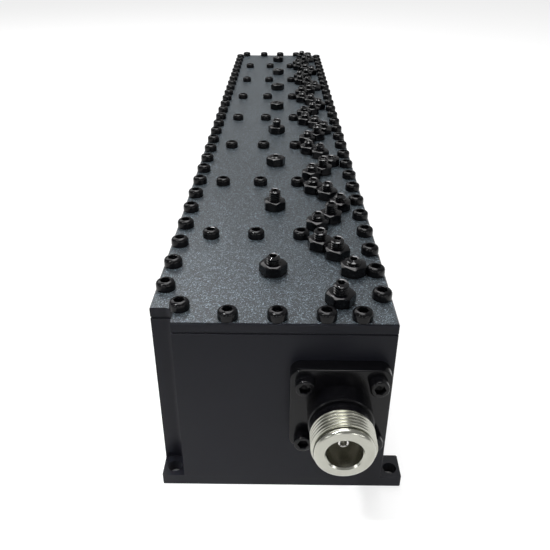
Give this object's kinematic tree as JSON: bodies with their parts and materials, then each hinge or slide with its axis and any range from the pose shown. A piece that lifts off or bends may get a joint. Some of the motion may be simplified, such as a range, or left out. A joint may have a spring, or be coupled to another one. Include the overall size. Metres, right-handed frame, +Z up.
{
  "type": "cavity filter",
  "caption": "Long black milled cavity filter with a screwed lid, tuning screws with lock nuts over its cavities and a threaded coaxial port at each end.",
  "frame": {"origin": "centre of the housing's underside", "axes": "+Z up through the lid; length along Y with the front port at -Y; the ports lie towards +X"},
  "size_m": [0.0736, 0.405, 0.0622],
  "materials": {
    "housing_paint": "satin black paint on milled aluminium",
    "lid_paint": "fine-grained satin black paint on aluminium plate",
    "black_screw": "black oxide steel",
    "black_nut": "black oxide steel",
    "tuning_screw": "black oxide steel",
    "connector_body": "black paint on brass, with a bright nickel-plated nose",
    "silver_plate": "silver plate",
    "insulator_white": "white fluoropolymer",
    "insulator_grey": "warm grey moulded plastic"
  },
  "bodies": {
    "filter_body": {"housing": "housing_paint", "lid": "lid_paint", "lid_screws": "black_screw", "lock_nuts": "black_nut", "resonators": "silver_plate", "through_line": "silver_plate", "line_supports": "insulator_white", "flange_screws": "black_screw", "front_connector_body": "connector_body", "front_insulator": "insulator_grey", "front_contact": "silver_plate", "rear_connector_body": "connector_body", "rear_insulator": "insulator_grey", "rear_contact": "silver_plate"},
    "tuning_screw_1": {"tuning_screw_1": "tuning_screw"},
    "tuning_screw_2": {"tuning_screw_2": "tuning_screw"},
    "tuning_screw_3": {"tuning_screw_3": "tuning_screw"},
    "tuning_screw_4": {"tuning_screw_4": "tuning_screw"},
    "tuning_screw_5": {"tuning_screw_5": "tuning_screw"},
    "tuning_screw_6": {"tuning_screw_6": "tuning_screw"},
    "tuning_screw_7": {"tuning_screw_7": "tuning_screw"},
    "tuning_screw_8": {"tuning_screw_8": "tuning_screw"},
    "coupling_screw_1_1": {"coupling_screw_1_1": "tuning_screw"},
    "coupling_screw_1_2": {"coupling_screw_1_2": "tuning_screw"},
    "coupling_screw_1_3": {"coupling_screw_1_3": "tuning_screw"},
    "coupling_screw_1_4": {"coupling_screw_1_4": "tuning_screw"},
    "coupling_screw_2_1": {"coupling_screw_2_1": "tuning_screw"},
    "coupling_screw_2_2": {"coupling_screw_2_2": "tuning_screw"},
    "coupling_screw_2_3": {"coupling_screw_2_3": "tuning_screw"},
    "coupling_screw_2_4": {"coupling_screw_2_4": "tuning_screw"},
    "coupling_screw_2_5": {"coupling_screw_2_5": "tuning_screw"},
    "coupling_screw_3_1": {"coupling_screw_3_1": "tuning_screw"},
    "coupling_screw_3_2": {"coupling_screw_3_2": "tuning_screw"},
    "coupling_screw_3_3": {"coupling_screw_3_3": "tuning_screw"},
    "coupling_screw_3_4": {"coupling_screw_3_4": "tuning_screw"},
    "coupling_screw_3_5": {"coupling_screw_3_5": "tuning_screw"},
    "coupling_screw_4_1": {"coupling_screw_4_1": "tuning_screw"},
    "coupling_screw_4_2": {"coupling_screw_4_2": "tuning_screw"},
    "coupling_screw_4_3": {"coupling_screw_4_3": "tuning_screw"},
    "coupling_screw_4_4": {"coupling_screw_4_4": "tuning_screw"},
    "coupling_screw_4_5": {"coupling_screw_4_5": "tuning_screw"},
    "coupling_screw_5_1": {"coupling_screw_5_1": "tuning_screw"},
    "coupling_screw_5_2": {"coupling_screw_5_2": "tuning_screw"},
    "coupling_screw_5_3": {"coupling_screw_5_3": "tuning_screw"},
    "coupling_screw_5_4": {"coupling_screw_5_4": "tuning_screw"},
    "coupling_screw_5_5": {"coupling_screw_5_5": "tuning_screw"},
    "coupling_screw_6_1": {"coupling_screw_6_1": "tuning_screw"},
    "coupling_screw_6_2": {"coupling_screw_6_2": "tuning_screw"},
    "coupling_screw_6_3": {"coupling_screw_6_3": "tuning_screw"},
    "coupling_screw_6_4": {"coupling_screw_6_4": "tuning_screw"},
    "coupling_screw_6_5": {"coupling_screw_6_5": "tuning_screw"},
    "coupling_screw_7_1": {"coupling_screw_7_1": "tuning_screw"},
    "coupling_screw_7_2": {"coupling_screw_7_2": "tuning_screw"},
    "coupling_screw_7_3": {"coupling_screw_7_3": "tuning_screw"},
    "coupling_screw_7_4": {"coupling_screw_7_4": "tuning_screw"},
    "coupling_screw_7_5": {"coupling_screw_7_5": "tuning_screw"},
    "coupling_screw_8_1": {"coupling_screw_8_1": "tuning_screw"},
    "coupling_screw_8_2": {"coupling_screw_8_2": "tuning_screw"},
    "coupling_screw_8_3": {"coupling_screw_8_3": "tuning_screw"},
    "coupling_screw_8_4": {"coupling_screw_8_4": "tuning_screw"}
  },
  "joints": [
    {"name": "tuning_feed_1", "type": "slide", "parent": "filter_body", "child": "tuning_screw_1", "axis": [0, 0, 1], "range_m": [-0.004, 0.004]},
    {"name": "tuning_feed_2", "type": "slide", "parent": "filter_body", "child": "tuning_screw_2", "axis": [0, 0, 1], "range_m": [-0.004, 0.004]},
    {"name": "tuning_feed_3", "type": "slide", "parent": "filter_body", "child": "tuning_screw_3", "axis": [0, 0, 1], "range_m": [-0.004, 0.004]},
    {"name": "tuning_feed_4", "type": "slide", "parent": "filter_body", "child": "tuning_screw_4", "axis": [0, 0, 1], "range_m": [-0.004, 0.004]},
    {"name": "tuning_feed_5", "type": "slide", "parent": "filter_body", "child": "tuning_screw_5", "axis": [0, 0, 1], "range_m": [-0.004, 0.004]},
    {"name": "tuning_feed_6", "type": "slide", "parent": "filter_body", "child": "tuning_screw_6", "axis": [0, 0, 1], "range_m": [-0.004, 0.004]},
    {"name": "tuning_feed_7", "type": "slide", "parent": "filter_body", "child": "tuning_screw_7", "axis": [0, 0, 1], "range_m": [-0.004, 0.004]},
    {"name": "tuning_feed_8", "type": "slide", "parent": "filter_body", "child": "tuning_screw_8", "axis": [0, 0, 1], "range_m": [-0.004, 0.004]},
    {"name": "coupling_feed_1_1", "type": "slide", "parent": "filter_body", "child": "coupling_screw_1_1", "axis": [0, 0, 1], "range_m": [-0.003, 0.004]},
    {"name": "coupling_feed_1_2", "type": "slide", "parent": "filter_body", "child": "coupling_screw_1_2", "axis": [0, 0, 1], "range_m": [-0.003, 0.004]},
    {"name": "coupling_feed_1_3", "type": "slide", "parent": "filter_body", "child": "coupling_screw_1_3", "axis": [0, 0, 1], "range_m": [-0.003, 0.004]},
    {"name": "coupling_feed_1_4", "type": "slide", "parent": "filter_body", "child": "coupling_screw_1_4", "axis": [0, 0, 1], "range_m": [-0.003, 0.004]},
    {"name": "coupling_feed_2_1", "type": "slide", "parent": "filter_body", "child": "coupling_screw_2_1", "axis": [0, 0, 1], "range_m": [-0.003, 0.004]},
    {"name": "coupling_feed_2_2", "type": "slide", "parent": "filter_body", "child": "coupling_screw_2_2", "axis": [0, 0, 1], "range_m": [-0.003, 0.004]},
    {"name": "coupling_feed_2_3", "type": "slide", "parent": "filter_body", "child": "coupling_screw_2_3", "axis": [0, 0, 1], "range_m": [-0.003, 0.004]},
    {"name": "coupling_feed_2_4", "type": "slide", "parent": "filter_body", "child": "coupling_screw_2_4", "axis": [0, 0, 1], "range_m": [-0.003, 0.004]},
    {"name": "coupling_feed_2_5", "type": "slide", "parent": "filter_body", "child": "coupling_screw_2_5", "axis": [0, 0, 1], "range_m": [-0.003, 0.004]},
    {"name": "coupling_feed_3_1", "type": "slide", "parent": "filter_body", "child": "coupling_screw_3_1", "axis": [0, 0, 1], "range_m": [-0.003, 0.004]},
    {"name": "coupling_feed_3_2", "type": "slide", "parent": "filter_body", "child": "coupling_screw_3_2", "axis": [0, 0, 1], "range_m": [-0.003, 0.004]},
    {"name": "coupling_feed_3_3", "type": "slide", "parent": "filter_body", "child": "coupling_screw_3_3", "axis": [0, 0, 1], "range_m": [-0.003, 0.004]},
    {"name": "coupling_feed_3_4", "type": "slide", "parent": "filter_body", "child": "coupling_screw_3_4", "axis": [0, 0, 1], "range_m": [-0.003, 0.004]},
    {"name": "coupling_feed_3_5", "type": "slide", "parent": "filter_body", "child": "coupling_screw_3_5", "axis": [0, 0, 1], "range_m": [-0.003, 0.004]},
    {"name": "coupling_feed_4_1", "type": "slide", "parent": "filter_body", "child": "coupling_screw_4_1", "axis": [0, 0, 1], "range_m": [-0.003, 0.004]},
    {"name": "coupling_feed_4_2", "type": "slide", "parent": "filter_body", "child": "coupling_screw_4_2", "axis": [0, 0, 1], "range_m": [-0.003, 0.004]},
    {"name": "coupling_feed_4_3", "type": "slide", "parent": "filter_body", "child": "coupling_screw_4_3", "axis": [0, 0, 1], "range_m": [-0.003, 0.004]},
    {"name": "coupling_feed_4_4", "type": "slide", "parent": "filter_body", "child": "coupling_screw_4_4", "axis": [0, 0, 1], "range_m": [-0.003, 0.004]},
    {"name": "coupling_feed_4_5", "type": "slide", "parent": "filter_body", "child": "coupling_screw_4_5", "axis": [0, 0, 1], "range_m": [-0.003, 0.004]},
    {"name": "coupling_feed_5_1", "type": "slide", "parent": "filter_body", "child": "coupling_screw_5_1", "axis": [0, 0, 1], "range_m": [-0.003, 0.004]},
    {"name": "coupling_feed_5_2", "type": "slide", "parent": "filter_body", "child": "coupling_screw_5_2", "axis": [0, 0, 1], "range_m": [-0.003, 0.004]},
    {"name": "coupling_feed_5_3", "type": "slide", "parent": "filter_body", "child": "coupling_screw_5_3", "axis": [0, 0, 1], "range_m": [-0.003, 0.004]},
    {"name": "coupling_feed_5_4", "type": "slide", "parent": "filter_body", "child": "coupling_screw_5_4", "axis": [0, 0, 1], "range_m": [-0.003, 0.004]},
    {"name": "coupling_feed_5_5", "type": "slide", "parent": "filter_body", "child": "coupling_screw_5_5", "axis": [0, 0, 1], "range_m": [-0.003, 0.004]},
    {"name": "coupling_feed_6_1", "type": "slide", "parent": "filter_body", "child": "coupling_screw_6_1", "axis": [0, 0, 1], "range_m": [-0.003, 0.004]},
    {"name": "coupling_feed_6_2", "type": "slide", "parent": "filter_body", "child": "coupling_screw_6_2", "axis": [0, 0, 1], "range_m": [-0.003, 0.004]},
    {"name": "coupling_feed_6_3", "type": "slide", "parent": "filter_body", "child": "coupling_screw_6_3", "axis": [0, 0, 1], "range_m": [-0.003, 0.004]},
    {"name": "coupling_feed_6_4", "type": "slide", "parent": "filter_body", "child": "coupling_screw_6_4", "axis": [0, 0, 1], "range_m": [-0.003, 0.004]},
    {"name": "coupling_feed_6_5", "type": "slide", "parent": "filter_body", "child": "coupling_screw_6_5", "axis": [0, 0, 1], "range_m": [-0.003, 0.004]},
    {"name": "coupling_feed_7_1", "type": "slide", "parent": "filter_body", "child": "coupling_screw_7_1", "axis": [0, 0, 1], "range_m": [-0.003, 0.004]},
    {"name": "coupling_feed_7_2", "type": "slide", "parent": "filter_body", "child": "coupling_screw_7_2", "axis": [0, 0, 1], "range_m": [-0.003, 0.004]},
    {"name": "coupling_feed_7_3", "type": "slide", "parent": "filter_body", "child": "coupling_screw_7_3", "axis": [0, 0, 1], "range_m": [-0.003, 0.004]},
    {"name": "coupling_feed_7_4", "type": "slide", "parent": "filter_body", "child": "coupling_screw_7_4", "axis": [0, 0, 1], "range_m": [-0.003, 0.004]},
    {"name": "coupling_feed_7_5", "type": "slide", "parent": "filter_body", "child": "coupling_screw_7_5", "axis": [0, 0, 1], "range_m": [-0.003, 0.004]},
    {"name": "coupling_feed_8_1", "type": "slide", "parent": "filter_body", "child": "coupling_screw_8_1", "axis": [0, 0, 1], "range_m": [-0.003, 0.004]},
    {"name": "coupling_feed_8_2", "type": "slide", "parent": "filter_body", "child": "coupling_screw_8_2", "axis": [0, 0, 1], "range_m": [-0.003, 0.004]},
    {"name": "coupling_feed_8_3", "type": "slide", "parent": "filter_body", "child": "coupling_screw_8_3", "axis": [0, 0, 1], "range_m": [-0.003, 0.004]},
    {"name": "coupling_feed_8_4", "type": "slide", "parent": "filter_body", "child": "coupling_screw_8_4", "axis": [0, 0, 1], "range_m": [-0.003, 0.004]}
  ]
}
